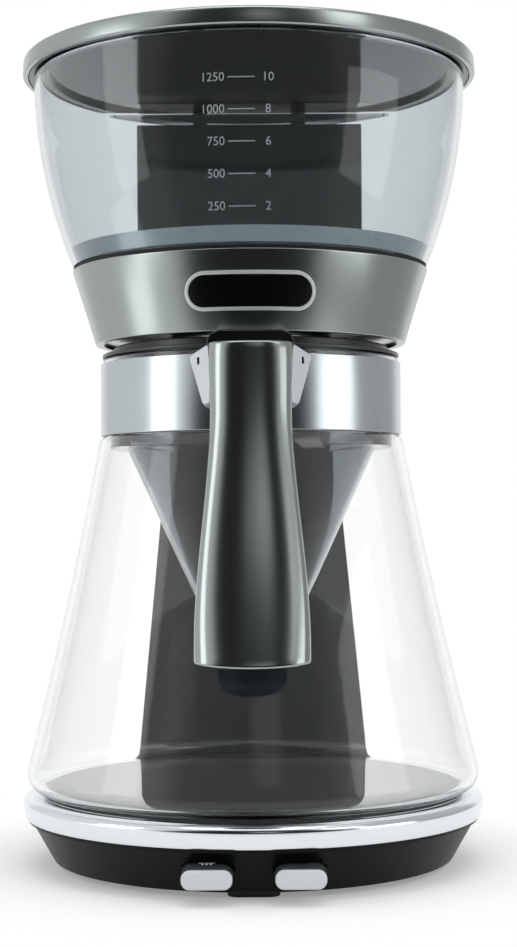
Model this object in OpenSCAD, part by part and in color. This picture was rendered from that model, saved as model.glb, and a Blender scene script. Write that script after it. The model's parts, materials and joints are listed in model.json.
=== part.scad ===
// Automatic pour-over coffee maker, in millimetres.
// The origin is on the table under the jug's axis. +Z is up, and the jug's handle points to -Y.

/* [Base] */
// Height of the rubber feet
foot_h = 2.5; // [2:0.1:4]
// Height of the base housing's side
base_h = 17.5; // [17.4:0.1:21]
// Largest radius of the trim ring
ring_r = 100.2; // [99.6:0.2:102]
// How far the trim ring overhangs the base housing
ring_overhang = 3.2; // [2.4:0.1:4.2]
// How much the base housing draws in from its top edge to its bottom edge
base_taper = 10; // [9:0.5:11]
// Height of the trim ring
ring_h = 11; // [9:0.1:12]
// Wall thickness of the moulded shells
wall = 2.4; // [2:0.1:2.8]

/* [Buttons] */
// Distance between the centres of the two buttons
button_pitch = 36.4; // [35:0.2:40]
// Width of a button
button_w = 20.4; // [18:0.2:22]
// Height of a button
button_h = 8.2; // [7.4:0.1:8.6]
// How far the button faces stand in front of the base housing's top edge
button_proud = 8; // [5:0.5:10]
// How far a button travels
button_travel = 2.5; // [1.5:0.1:3]

/* [Carafe] */
// Height of the glass jug
jug_h = 187.9; // [182:0.5:196]
// How far the glass stays inside the trim ring
jug_inset = 1.7; // [1.7:0.1:6]
// Wall thickness of the glass
glass_t = 2.6; // [2.2:0.1:3]
// Outer radius of the steel neck band
band_r = 66; // [65:0.2:67]
// Height of the neck band
band_h = 31.4; // [28:0.2:33]

/* [Handle] */
// Length of the handle
handle_l = 126; // [110:1:130]
// Width of the handle at its slimmest
handle_w = 31.8; // [28:0.2:36]
// Extra width of the handle at its foot
handle_flare = 12.8; // [6:0.2:16]
// Distance of the handle's parting plane in front of the axis, at its top
handle_reach = 88; // [86:0.5:92]
// How far the parting plane leans out from the top of the handle to its foot
handle_lean = 24; // [20:0.5:28]

/* [Filter] */
// Radius of the filter cone at its top
cone_r = 57.2; // [54:0.2:58]
// Height of the filter cone
cone_h = 97.8; // [88:0.2:104]
// Radius of the filter cone at its flat tip
cone_tip_r = 12.8; // [11:0.2:16]

/* [Tower] */
// Width of the tower at its foot
tower_foot_w = 115; // [108:1:116]
// Width of the tower at its waist
tower_waist_w = 76; // [72:1:84]
// Width of the tower behind the tank
tower_head_w = 108; // [100:1:112]
// Depth of the tower behind the collar
tower_depth = 38; // [37:0.5:40]

/* [Head] */
// Radius of the collar at its lower edge
collar_r = 68; // [67:0.2:70]
// Radius of the collar at its upper edge
collar_top_r = 78.2; // [76:0.2:80]
// Height of the collar
collar_h = 32.5; // [31:0.5:36]

/* [Tank and lid] */
// Height of the clear tank wall
tank_h = 82.9; // [78:0.5:88]
// Radius of the arc that the tank wall follows
tank_arc = 205; // [195:5:240]
// Wall thickness of the tank
tank_t = 2.4; // [2:0.1:3]
// Distance of the tank's flat back behind the axis
tank_back = 62; // [60:0.5:64]
// Largest radius of the lid's metal rim
lid_r = 99.5; // [98:0.1:101]
// How far the lid's rim overhangs the tank
lid_overhang = 4.9; // [4.4:0.1:6]

/* [Hidden] */
$fn = 96;

// Room between pieces that are fixed to each other
fit = 0.15;
// Room between a moving piece and what it stands on
rest_gap = 0.2;
// Room round a button in its hole
slide_gap = 0.35;
// Length that reaches past every piece
far = 400;

// Radii that follow the trim ring and the lid
base_top_r = ring_r - ring_overhang;
base_r = base_top_r - base_taper;
button_reach = base_top_r + button_proud;
jug_r = ring_r - jug_inset;
tank_r = lid_r - lid_overhang;

// Heights of the parts that stack on each other
cover_t = 2.5;
z_cover = foot_h + cover_t;
z_deck = foot_h + base_h;
z_ring = z_deck + ring_h;
plate_t = 1.4;
plate_proud = 0.6;
z_plate = z_ring + plate_proud;
z_jug = z_plate + rest_gap;
z_rim = z_jug + jug_h;
flange_t = 1.7;
filter_lip_h = 4.8;
z_filter = z_rim + filter_lip_h;
head_gap = 1.2;
z_collar = z_filter + head_gap;
z_seal = z_collar + collar_h;
seal_t = 1.6;
z_tank = z_seal + seal_t;
z_tank_top = z_tank + tank_h;
z_lid = z_tank_top + rest_gap;
lid_flange_t = 2;
lid_rise = 7.5;
z_tower_top = z_tank_top - 5;

// Tower outline
z_waist = z_collar - 4;
z_head = z_collar + 6;
head_back = tank_back + 2;
tower_y_foot = ring_r + 1.8;
tower_y_neck = band_r + 4;
tower_back = head_back + tower_depth;
tower_foot_depth = 22.3;
front_corner = 5;
rear_corner = 9;
cover_depth = 12;
parting_gap = 0.3;
flare_h = z_tank + 22 - z_waist;
flare_steps = 7;
corner_steps = 4;
tower_screw_x = 40;
tower_screw_z = [z_ring + 50, z_tank + 40];
window_w = 44;
window_z = [z_head, z_seal - 2];

// Base
deck_hole_r = base_r - 11;
ring_gap = 0.4;
foot_back = tower_y_back(z_ring);
foot_corner = 9;
boss_r = 4;
boss_ring_r = base_r - 8.5;
boss_angles = [45, 135, 225, 315];
screw_r = 1.4;
screw_head_r = 3;
screw_head_h = 1.4;
plate_r = ring_r - 9.6;
seal_ledge = 2.6;
hose_hole = [72, 14];
hose_hole_y = tower_y_front(z_ring) + 4;

// Boiler under the warming plate
boiler_r = 40;
boiler_w = 14;
boiler_gap_angle = 70;
z_plate_under = z_plate - plate_t;
boiler_h = 14.2;
tube_r = 4;
pipe_x = boiler_r * sin(boiler_gap_angle / 2);
pipe_z = z_cover + 7.5;
pipe_end_y = boiler_r + 20;
ledge_z = z_plate_under - 6.2;
clamp_t = 1.5;

// Buttons and the switches behind them
button_z = z_cover + button_h / 2 + 1.8;
face_t = 1.4;
flange_y = 7 - base_r;
button_flange = [3.6, 3];
stem_r = 2;
carrier_y = flange_y + 12.5;
carrier_t = 1.5;
board_y = carrier_y + 8.7;
carrier_w = 69;
switch_size = [6, 3, 6];
plunger_l = 0.7;
stem_end_y = board_y - switch_size[1] - plunger_l - button_travel - 0.1;
spring_r = 3.2;
wire_r = 0.4;
spring_turns = 4;

// Lid hinge behind the rim
hinge_room = 5.2;
hinge_y = lid_r + hinge_room;
hinge_z = z_lid + lid_flange_t + 0.1;
pin_r = 1.5;
pin_l = 56;
knuckle_r = 3.4;
ear_r = 4;
ear_w = 7;
lid_arm_w = 40;
panel_r = lid_r - 7.5;

// Water lines
hose_r = 4.8;
hose_bore_r = 3.4;
hose_sides = 10;
spigot_r = 3;
spigot_bore_r = 2.1;
valve_z = z_ring + 130;
valve_h = 18;
valve_r = 5.2;
valve_spigot_l = 7;
ball_r = 2.6;
ball_lift = 1.5;
shower_r = 33.5;
shower_inlet_z = z_collar + 15.2;
shower_inlet_y = 26;
outlet = [14, tank_back - 18];
outlet_l = 14.8;

// Jug
neck_r = band_r - 0.9 - fit;
z_band_top = z_rim - 2.6;
z_band = z_band_top - band_h;
heel_r = 8;
shoulder = [band_r + 0.6, z_band - 2];
heel_corner = jug_r + 2;
side_lean = atan((heel_corner - shoulder[0]) / (shoulder[1] - z_jug));
heel_x = heel_corner - heel_r / tan((90 - side_lean) / 2);
side_sag = 1.2;
side_steps = 12;

// Handle
z_handle_top = z_rim - 0.7;
z_handle = z_handle_top - handle_l;
shell_t = 12;
core_t = 6.5;
thumb_rise = 5.5;
thumb_w = 34.7;
handle_steps = 20;
section_steps = 16;
section_power = 2.7;

// Filter cone inside the jug
cone_t = 1.8;
z_cone = z_rim - 33.9;
z_tip = z_cone - cone_h;
skirt_r = neck_r - glass_t - 1.8;
lip_r = skirt_r - 0.3;
nozzle_l = 3;
nozzle_r = 5;
nozzle_bore = 3.4;

// Half of an S-shaped blend from 0 to 1
function smooth(t) = let (c = max(0, min(1, t))) c * c * (3 - 2 * c);

// Points on an elliptic arc
function arc(cx, cy, rx, ry, from, to, n) =
  [for (i = [0:n]) let (a = from + (to - from) * i / n) [cx + rx * cos(a), cy + ry * sin(a)]];

function mirrored(half) = concat(half, [for (i = [len(half) - 1:-1:0]) [-half[i][0], half[i][1]]]);

function unit(v) = v / norm(v);

// Outlines of the tower at a height
function tower_half(z) = z < z_waist
  ? tower_foot_w / 2 - (tower_foot_w - tower_waist_w) / 2 * (z - z_ring) / (z_waist - z_ring)
  : tower_waist_w / 2 + (tower_head_w - tower_waist_w) / 2 * smooth((z - z_waist) / flare_h);

function tower_y_front(z) =
  lookup(z, [[z_ring, tower_y_foot], [z_collar - 14, tower_y_neck], [z_head, head_back], [far, head_back]]);

// The back sweeps out to the tower's foot, and at the top to the lid's hinge
function tower_y_back(z) = z < z_collar
  ? tower_back + (tower_y_foot + tower_foot_depth - tower_back) * pow((z_collar - z) / (z_collar - z_ring), 2)
  : tower_back + (hinge_y + ear_r + fit / 2 - tower_back) * pow((z - z_collar) / (z_tower_top - z_collar), 2);

// Radius of the tank's outside at a height
function tank_radius(z) = tank_r - pow(z_tank_top - z, 2) / (2 * tank_arc);

// Parting plane of the handle, and its half width
function handle_y(z) = -handle_reach - handle_lean * (z_handle_top - z) / handle_l;

function handle_half(z) = let (down = (z_handle_top - z) / handle_l)
  handle_w / 2 + handle_flare / 2 * smooth((down - 0.19) / 0.75) + 0.9 * smooth((0.27 - down) / 0.27);

// A solid through rings of points that run counter-clockwise about the direction of travel
module loft(rings) {
  n = len(rings[0]);
  last = len(rings) - 1;
  sides = [for (i = [0:last - 1], j = [0:n - 1]) let (a = i * n + j, b = i * n + (j + 1) % n)
    each [[a, a + n, b], [b, a + n, b + n]]];
  ends = [[for (j = [0:n - 1]) j], [for (j = [n - 1:-1:0]) last * n + j]];
  polyhedron([for (r = rings, p = r) p], concat(ends, sides));
}

// A ring of points square to a path
function ring_at(path, i, aside, r, n) =
  let (t = unit(path[min(i + 1, len(path) - 1)] - path[max(i - 1, 0)]))
  let (u = unit(cross(aside, t)), v = cross(t, u))
  [for (k = [0:n - 1]) path[i] + r * (cos(360 * k / n) * u + sin(360 * k / n) * v)];

// A smooth path through points chosen by hand
function curve(p, n) = let (last = len(p) - 1) concat([for (i = [0:last - 1], k = [0:n - 1])
  let (a = p[max(i - 1, 0)], b = p[i], c = p[i + 1], d = p[min(i + 2, last)], t = k / n)
  0.5 * (2 * b + (c - a) * t + (2 * a - 5 * b + 4 * c - d) * t * t + (3 * b - a - 3 * c + d) * t * t * t)],
  [p[last]]);

// A hose with a bore along a path
module hose(points) {
  path = curve(points, 3);
  n = hose_sides;
  last = len(path) - 1;
  outer = [for (i = [0:last]) each ring_at(path, i, [1, 0, 0], hose_r, n)];
  inner = [for (i = [0:last]) each ring_at(path, i, [1, 0, 0], hose_bore_r, n)];
  m = len(outer);
  walls = [for (i = [0:last - 1], j = [0:n - 1]) let (a = i * n + j, b = i * n + (j + 1) % n)
    each [[a, a + n, b], [b, a + n, b + n], [m + a, m + b, m + a + n], [m + b, m + b + n, m + a + n]]];
  ends = [for (j = [0:n - 1]) let (k = (j + 1) % n, e = last * n)
    each [[j, k, m + j], [k, m + k, m + j], [e + j, m + e + j, e + k], [e + k, m + e + j, m + e + k]]];
  polyhedron(concat(outer, inner), concat(walls, ends));
}

module pill(w, h) {
  square([w - h, h], center = true);
  for (side = [-1, 1]) translate([side * (w - h) / 2, 0]) circle(d = h);
}

// Children keep only what lies in front of a plane
module in_front_of(y) {
  intersection() {
    children();
    translate([-far / 2, y - far, 0]) cube([far, far, far]);
  }
}

// A flat shape in X and Z, pushed from one y to another
module push_y(from, to) {
  translate([0, to, 0]) rotate([90, 0, 0]) linear_extrude(to - from) children();
}

// A flat shape in Y and Z, pushed across the middle
module push_x(w) {
  translate([-w / 2, 0, 0]) rotate([90, 0, 90]) linear_extrude(w) children();
}

module rod_y(from, to, r) {
  translate([0, from, 0]) rotate([-90, 0, 0]) cylinder(h = to - from, r = r);
}

module rod_x(w, r) {
  rotate([0, 90, 0]) cylinder(h = w, r = r, center = true);
}

module at_bosses() {
  for (a = boss_angles) rotate(a) translate([boss_ring_r, 0, 0]) children();
}

module at_button(side) {
  translate([side * button_pitch / 2, 0, button_z]) children();
}

// Plan of the base's rear part, which carries the tower
module foot_plan(inset) {
  w = tower_foot_w / 2 - inset;
  y = foot_back - inset;
  r = foot_corner - inset;
  polygon(concat([[-w, 40], [w, 40]], arc(w - r, y - r, r, r, 0, 90, corner_steps),
    arc(r - w, y - r, r, r, 90, 180, corner_steps)));
}

module base_shape() {
  translate([0, 0, foot_h]) cylinder(h = base_h, r1 = base_r, r2 = base_top_r);
  difference() {
    translate([0, 0, foot_h]) linear_extrude(z_ring - foot_h) foot_plan(0);
    translate([0, 0, z_deck]) cylinder(h = far, r = ring_r + ring_gap);
  }
}

module base_hollow() {
  below = 1;
  translate([0, 0, foot_h - below])
    cylinder(h = base_h - wall + below, r1 = base_r - wall, r2 = base_top_r - 2 * wall);
  difference() {
    translate([0, 0, foot_h - below]) linear_extrude(z_ring - wall - foot_h + below) foot_plan(wall);
    translate([0, 0, z_deck - wall]) cylinder(h = far, r = ring_r + ring_gap + wall);
  }
  translate([0, 0, foot_h]) cylinder(h = base_h + below, r = deck_hole_r);
  translate([-hose_hole[0] / 2, hose_hole_y, z_deck]) cube([hose_hole[0], hose_hole[1], far]);
}

module base_housing() color("#1b1d1f") difference() {
  union() {
    difference() {
      base_shape();
      base_hollow();
    }
    at_bosses() translate([0, 0, z_cover]) cylinder(h = z_deck - wall - z_cover + 0.5, r = boss_r);
  }
  at_bosses() translate([0, 0, z_cover - 1]) cylinder(h = 11, r = screw_r + fit);
  for (side = [-1, 1]) at_button(side)
    push_y(-button_reach, flange_y) pill(button_w + 2 * slide_gap, button_h + 2 * slide_gap);
  translate(gland_place()) rod_y(-10, 10, gland_neck_r + fit);
}

module base_cover() color("#26282a") difference() {
  translate([0, 0, foot_h]) {
    cylinder(h = cover_t, r = base_r - wall - 2 * fit);
    linear_extrude(cover_t) foot_plan(wall + 2 * fit);
  }
  at_bosses() {
    cylinder(h = far, r = screw_r + fit);
    cylinder(h = foot_h + screw_head_h + fit, r = screw_head_r + fit);
  }
}

foot_pad = [21, 9];
foot_ring_r = base_r - 8;
foot_places = [[0, -foot_ring_r, 0], [-foot_ring_r, 0, 90], [foot_ring_r, 0, 90],
  [-38, foot_back - 14, 0], [38, foot_back - 14, 0]];

module rubber_feet() color("#101112") for (p = foot_places)
  translate([p[0], p[1], 0]) rotate(p[2]) linear_extrude(foot_h) pill(foot_pad[0], foot_pad[1]);

module cover_screws() color("silver") at_bosses() translate([0, 0, foot_h + fit / 2]) {
  cylinder(h = screw_head_h, r = screw_head_r);
  cylinder(h = 10, r = screw_r);
}

ring_in_r = plate_r + 0.6;

module trim_ring() color("#d8dde0") rotate_extrude() polygon(concat(
  [[plate_r - 1.1, z_deck], [ring_r - 1.9, z_deck], [ring_r, z_deck + 1.9]],
  arc(ring_in_r + 1, z_deck + 3.4, ring_r - ring_in_r - 1, ring_h - 3.4, 0, 90, 10),
  [[ring_in_r, z_ring - 0.5], [ring_in_r, z_ring - seal_ledge], [plate_r - 6, z_ring - seal_ledge],
   [plate_r - 6, z_ring - seal_ledge - 2], [plate_r - 1.1, z_ring - seal_ledge - 2]]));

module warming_plate() color("#2a2c2e") difference() {
  union() {
    translate([0, 0, z_plate_under]) cylinder(h = plate_t, r = plate_r);
    translate([0, 0, ledge_z]) cylinder(h = z_plate_under - ledge_z, r = 4.5);
  }
  translate([0, 0, ledge_z - 1]) cylinder(h = 6, r = 1.9 + fit);
}

module plate_seal() color("#3a3a38") translate([0, 0, z_ring - seal_ledge])
  difference() {
    cylinder(h = z_plate_under - z_ring + seal_ledge, r = plate_r - fit);
    translate([0, 0, -1]) cylinder(h = far, r = plate_r - 5.5);
  }

module horseshoe() {
  rotate(90 + boiler_gap_angle / 2) rotate_extrude(angle = 360 - boiler_gap_angle) children();
}

module boiler() color("#a7a9aa") difference() {
  union() {
    horseshoe() translate([boiler_r - boiler_w / 2, z_plate_under - boiler_h]) square([boiler_w, boiler_h]);
    horseshoe() translate([boiler_r - boiler_w / 2 - 5, ledge_z]) square([6, 3]);
    horseshoe() translate([boiler_r, pipe_z]) circle(tube_r);
    for (side = [-1, 1]) translate([side * pipe_x, 0, pipe_z])
      rod_y(boiler_r * cos(boiler_gap_angle / 2) - 3, pipe_end_y, spigot_r);
  }
  for (side = [-1, 1]) translate([side * pipe_x, 0, pipe_z])
    rod_y(pipe_end_y - 18, pipe_end_y + 1, spigot_bore_r);
}

module boiler_clamp() color("#8f9294") translate([0, 0, ledge_z - clamp_t]) difference() {
  half = boiler_r - boiler_w / 2 - 1;
  translate([-half, -6, 0]) cube([2 * half, 12, clamp_t]);
  translate([0, 0, -1]) cylinder(h = far, r = 1.9 + fit);
}

module clamp_screw() color("silver") translate([0, 0, ledge_z - clamp_t - 1.6]) {
  cylinder(h = 1.6, r = 3.6);
  cylinder(h = 7.5, r = 1.9);
}

module thermostat() color("#c9cbc6") translate([19, 0, ledge_z - clamp_t]) {
  translate([0, 0, -6]) cylinder(h = 6, r = 7.5);
  for (side = [-1, 1]) translate([side * 4 - 0.4, -3, -10]) cube([0.8, 6, 5]);
}

module thermal_fuse() color("#e2ded2") translate([-19, 0, ledge_z - clamp_t - 2.2])
  rotate([90, 0, 0]) cylinder(h = 11, r = 2.2, center = true);

module terminal_block() color("#dcd8c8") translate([-52, 74, z_cover]) difference() {
  cube([22, 11, 9]);
  for (x = [4, 11, 18]) translate([x, 5.5, 4]) cylinder(h = 9, r = 2);
}

gland_neck_r = 5.5;
gland_bore_r = 3.6;
gland_flange_r = 7.5;
gland_flange_t = 1.4;
function gland_place() = [-38, foot_back, z_cover + 9];

module cord_gland() color("#151617") translate(gland_place()) difference() {
  union() {
    rod_y(-10, gland_flange_t, gland_neck_r);
    rod_y(0, gland_flange_t, gland_flange_r);
    rod_y(-10, -wall - fit, gland_flange_r);
  }
  rod_y(-far, far, gland_bore_r);
}

module switch_carrier() color("#33363a") difference() {
  translate([-carrier_w / 2, carrier_y, z_cover]) union() {
    cube([carrier_w, carrier_t, 12.5]);
    for (x = [0, carrier_w - carrier_t]) translate([x, 0, 0]) cube([carrier_t, board_y - carrier_y, 12.5]);
  }
  for (side = [-1, 1]) at_button(side) rod_y(carrier_y - 1, carrier_y + carrier_t + 1, stem_r + slide_gap);
}

module switch_board() color("#20603a")
  translate([-carrier_w / 2, board_y, z_cover]) cube([carrier_w, carrier_t, 12.5]);

module switches() color("#303030") for (side = [-1, 1]) at_button(side) {
  translate([-switch_size[0] / 2, board_y - switch_size[1], -switch_size[2] / 2]) cube(switch_size);
  rod_y(board_y - switch_size[1] - plunger_l, board_y - switch_size[1], 1.6);
}

module button_body(side) at_button(side) {
  push_y(face_t - button_reach, flange_y) pill(button_w, button_h);
  push_y(flange_y, flange_y + 2) pill(button_w + button_flange[0], button_h + button_flange[1]);
  rod_y(flange_y + 2, stem_end_y, stem_r);
}

module button_face(side) at_button(side)
  push_y(-button_reach, face_t - button_reach) pill(button_w - 0.6, button_h - 0.6);

// A coil between the button's flange and the carrier
module button_spring(side) {
  from = flange_y + 2 + wire_r;
  to = carrier_y - wire_r;
  steps = spring_turns * 12;
  path = [for (i = [0:steps])
    [spring_r * cos(30 * i), from + (to - from) * i / steps, spring_r * sin(30 * i)]];
  at_button(side) loft([for (i = [0:steps]) ring_at(path, i, [0, 1, 0], wire_r, 6)]);
}

module brew_button() color("#34383b") button_body(-1);
module brew_button_face() color("#c3c8cb") button_face(-1);
module brew_spring() color("silver") button_spring(-1);
module power_button() color("#34383b") button_body(1);
module power_button_face() color("#c3c8cb") button_face(1);
module power_spring() color("silver") button_spring(1);

// Heights where the tower's outlines have points, closer together where it flares
function tower_heights(from, to) = concat([from],
  [for (i = [1:6]) z_ring + (z_waist - z_ring) * i / 6],
  [for (i = [1:flare_steps]) z_waist + flare_h * i / flare_steps], [to]);

// The tower as a block: its front view, its side view and its cut corners, each pushed through
module tower_block(inset, from, to) {
  zs = tower_heights(from, to);
  down = [for (i = [len(zs) - 1:-1:0]) zs[i]];
  front_cut = front_corner - 0.586 * inset;
  rear_cut = rear_corner - 0.586 * inset;
  intersection() {
    push_y(0, far / 2) polygon(mirrored([for (z = zs) [tower_half(z) - inset, z]]));
    push_x(far) polygon(concat([for (z = zs) [tower_y_front(z) + inset, z]],
      [for (z = down) [tower_y_back(z) - inset, z]]));
    for (side = [0, 1]) mirror([side, 0, 0]) rotate(45) push_y(-far, far) polygon(concat(
      [for (z = zs) [(tower_y_front(z) - tower_half(z) + 2 * inset + front_cut) / sqrt(2), z]],
      [for (z = down) [(tower_half(z) + tower_y_back(z) - 2 * inset - rear_cut) / sqrt(2), z]]));
  }
}

module tower_shell() {
  difference() {
    tower_block(0, z_ring, z_tower_top);
    tower_block(wall, z_ring - 1, z_tower_top - wall);
  }
}

// All that lies in front of the line where the two shells part, moved back by a distance
module before_parting(shift) {
  line = [for (z = tower_heights(z_ring, z_tower_top)) [tower_y_back(z) - cover_depth + shift, z]];
  push_x(far) polygon(concat([[line[0][0], 0]], line, [[line[len(line) - 1][0], far], [0, far], [0, 0]]));
}

module at_tower_screws() {
  for (z = tower_screw_z, side = [-1, 1]) translate([side * tower_screw_x, tower_y_back(z), z]) children();
}

module tower_front() color("#3c4447") {
  difference() {
    intersection() {
      tower_shell();
      before_parting(0);
    }
    translate([-window_w / 2, 0, window_z[0]])
      cube([window_w, head_back + wall + 4, window_z[1] - window_z[0]]);
  }
  for (z = tower_screw_z, side = [-1, 1]) translate([side * tower_screw_x, 0, z]) difference() {
    rod_y(tower_y_front(z) + wall - 0.5, tower_y_back(z) - wall - 0.9, 3.5);
    rod_y(tower_y_back(z) - 16, tower_y_back(z), screw_r + fit);
  }
}

module tower_rear_cover() color("#23282a") {
  difference() {
    tower_shell();
    before_parting(parting_gap);
    at_tower_screws() {
      rod_y(-far / 8, far / 8, screw_r + fit);
      rod_y(-1.2, far / 8, screw_head_r + fit);
    }
  }
  for (side = [-1, 1]) translate([side * (lid_arm_w + ear_w + 2) / 2, hinge_y, hinge_z]) difference() {
    union() {
      translate([-ear_w / 2, -ear_r, z_tower_top - hinge_z - 1])
        cube([ear_w, 2 * ear_r, hinge_z - z_tower_top + 1]);
      rod_x(ear_w, ear_r);
    }
    rod_x(ear_w + 2, pin_r);
  }
}

module tower_screws() color("silver") at_tower_screws() {
  rod_y(-1.2, screw_head_h - 1.2, screw_head_r);
  rod_y(-12, 0, screw_r);
}

// Water lines: the routes run from the tank's outlet and from the boiler
function in_tower(x, z) = [x, (tower_y_front(z) + tower_y_back(z)) / 2, z];
valve_low = [pipe_x, in_tower(0, valve_z + valve_h / 3)[1], valve_z];
valve_top = valve_low + [0, 0, valve_h];
outlet_end = [outlet[0], outlet[1], z_tank - outlet_l];

// The last stretch of a hose, through the base to the boiler
function to_boiler(x) = [in_tower(x, z_ring + 49), in_tower(x, z_ring + 19),
  [x, hose_hole_y + hose_hole[1] / 2 - 0.5, z_ring - 3], [x, foot_back - 20, pipe_z + 0.6],
  [x, foot_back - 36, pipe_z], [x, pipe_end_y + 4, pipe_z], [x, pipe_end_y - 8, pipe_z]];

cold_upper_route = [outlet_end + [0, 0, 7], outlet_end + [0, 0, 3.5], outlet_end, outlet_end + [0, 0.6, -3.5],
  outlet_end + [0, 7, -8.5], [outlet[0], head_back - 1, z_collar + 12.5],
  [outlet[0] + 3, head_back + 13, z_collar + 7.5],
  in_tower(pipe_x - 3, z_collar - 16), valve_top + [0, 0, 12], valve_top + [0, 0, 8], valve_top + [0, 0, 4],
  valve_top + [0, 0, 0.3]];
cold_lower_route = concat([valve_low - [0, 0, 0.3], valve_low - [0, 0, 4], valve_low - [0, 0, 8],
  valve_low - [0, 0, 12], in_tower(pipe_x, z_ring + 88)], to_boiler(pipe_x));
inlet = [0, shower_inlet_y, shower_inlet_z];
hot_route = concat([inlet - [0, 10, 0], inlet - [0, 5, 0], inlet + [0, 0.5, 0], inlet + [0, 4.5, 0],
  [-5, tank_back - 16, shower_inlet_z], [-12, head_back - 1, shower_inlet_z - 0.5],
  [-outlet[0] - 3, head_back + 13, z_collar + 8], in_tower(3 - pipe_x, z_collar - 16),
  in_tower(-pipe_x, z_collar - 65)], to_boiler(-pipe_x));

module cold_hose_upper() color("#d9d6cc") hose(cold_upper_route);
module cold_hose_lower() color("#d9d6cc") hose(cold_lower_route);
module hot_hose() color("#d0b9a8") hose(hot_route);

module clip_ring() rotate_extrude() translate([hose_r + fit, -2]) square([1, 4]);

module hose_clips() color("silver") {
  translate(outlet_end + [0, 0, 4]) clip_ring();
  translate(valve_top + [0, 0, 3.5]) clip_ring();
  translate(valve_low + [0, 0, -3.5]) clip_ring();
  for (side = [-1, 1]) translate([side * pipe_x, pipe_end_y - 4, pipe_z]) rotate([90, 0, 0]) clip_ring();
  translate([0, shower_inlet_y - 5, shower_inlet_z]) rotate([90, 0, 0]) clip_ring();
}

module valve_body() color("#e4e2da") translate(valve_low) difference() {
  union() {
    cylinder(h = valve_h, r = valve_r);
    translate([0, 0, -valve_spigot_l]) cylinder(h = valve_h + 2 * valve_spigot_l, r = spigot_r);
  }
  translate([0, 0, -far / 2]) cylinder(h = far, r = spigot_bore_r);
  translate([0, 0, 4]) cylinder(h = 2 * ball_r + ball_lift + 0.6, r = ball_r + 0.5);
}

module valve_ball() color("silver") translate(valve_low + [0, 0, 4.3 + ball_r]) sphere(ball_r);

// Head: the collar with its badge, the frame inside it and the shower
collar_t = 2.2;
collar_lip = 1.3;
z_frame = z_collar + collar_lip;
frame_t = 2.4;
function collar_radius(z) = collar_r + (collar_top_r - collar_r) * (z - z_collar) / collar_h;

module collar() color("#a59f97") in_front_of(head_back - 2 * fit) rotate_extrude() polygon([
  [collar_r, z_collar], [collar_top_r, z_seal], [collar_top_r - 8, z_seal], [collar_top_r - 8, z_seal - 2],
  [collar_radius(z_seal - 2) - collar_t, z_seal - 2], [collar_radius(z_frame) - collar_t, z_frame],
  [collar_r - 5, z_frame], [collar_r - 5, z_collar]]);

badge = [53.2, 15.6];
badge_frame_w = 1.5;
z_badge = z_collar + 15.7;

// A skin on the collar, between two distances from its surface
module collar_skin(from, to) {
  low = z_badge - badge[1];
  high = z_badge + badge[1];
  rotate_extrude() polygon([[collar_radius(low) + from, low], [collar_radius(low) + to, low],
    [collar_radius(high) + to, high], [collar_radius(high) + from, high]]);
}

module badge_plate() color("#08090a") intersection() {
  collar_skin(fit, 0.9);
  translate([0, 0, z_badge]) push_y(-2 * collar_r, 0)
    pill(badge[0] - 2 * badge_frame_w, badge[1] - 2 * badge_frame_w);
}

module badge_border() color("#dfe3e5") intersection() {
  collar_skin(fit, 1.3);
  translate([0, 0, z_badge]) push_y(-2 * collar_r, 0) difference() {
    pill(badge[0], badge[1]);
    pill(badge[0] - 2 * badge_frame_w + fit, badge[1] - 2 * badge_frame_w + fit);
  }
}

frame_post_r = 4;
frame_post_ring_r = 56;
brace_w = 6;
brace_x = (window_w + brace_w) / 2 + 1;

module head_frame() color("#141618") {
  in_front_of(head_back - 2 * fit) translate([0, 0, z_frame]) difference() {
    cylinder(h = frame_t, r = collar_radius(z_frame) - collar_t - fit);
    translate([0, 0, -1]) cylinder(h = far, r = shower_r + fit);
  }
  for (a = boss_angles) rotate(a) translate([frame_post_ring_r, 0, z_frame + frame_t - 0.5])
    cylinder(h = z_tank - z_frame - frame_t + 0.5, r = frame_post_r);
  for (side = [-1, 1]) translate([side * brace_x, 0, 0]) push_x(brace_w) polygon([
    [head_back - 21, z_frame + frame_t - 0.5], [head_back - 10, z_frame + frame_t - 0.5],
    [head_back - 10, z_seal - 15], [head_back - fit, z_seal - 12], [head_back - fit, z_seal - 3],
    [head_back - 21, z_seal - 3]]);
}

module shower_head() color("#1d1f21") difference() {
  z = z_frame + frame_t;
  union() {
    translate([0, 0, z]) cylinder(h = 2, r = shower_r + 4);
    translate([0, 0, z_frame]) cylinder(h = frame_t + 5, r = shower_r);
    translate([0, 0, z]) cylinder(h = shower_inlet_z + 5 - z, r = 8);
    translate([0, 0, shower_inlet_z]) rod_y(0, shower_inlet_y, spigot_r);
  }
  translate([0, 0, z_frame - 1]) cylinder(h = frame_t + 4, r = shower_r - 2);
  translate([0, 0, z]) cylinder(h = shower_inlet_z - z, r = spigot_bore_r);
  translate([0, 0, shower_inlet_z]) rod_y(0, shower_inlet_y + 1, spigot_bore_r);
}

spray_hole_r = 1.3;
spray_rings = [[0, 1], [9, 6], [18, 12], [27, 18]];

module spray_plate() color("#e6eaec") translate([0, 0, z_frame - 1]) difference() {
  cylinder(h = 1, r = shower_r - 0.2);
  for (ring = spray_rings, i = [0:ring[1] - 1]) rotate(360 * i / ring[1])
    translate([ring[0], 0, -1]) cylinder(h = 3, r = spray_hole_r, $fn = 24);
}

// Tank
tank_steps = 14;
floor_t = 2.5;
floor_rim_h = 7.7;

function tank_side(inset, from, to) =
  [for (i = [0:tank_steps]) let (z = from + (to - from) * i / tank_steps) [tank_radius(z) - inset, z]];

module tank_body(inset, from, to) {
  in_front_of(tank_back - inset)
    rotate_extrude() polygon(concat([[0, from]], tank_side(inset, from, to), [[0, to]]));
}

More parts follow.
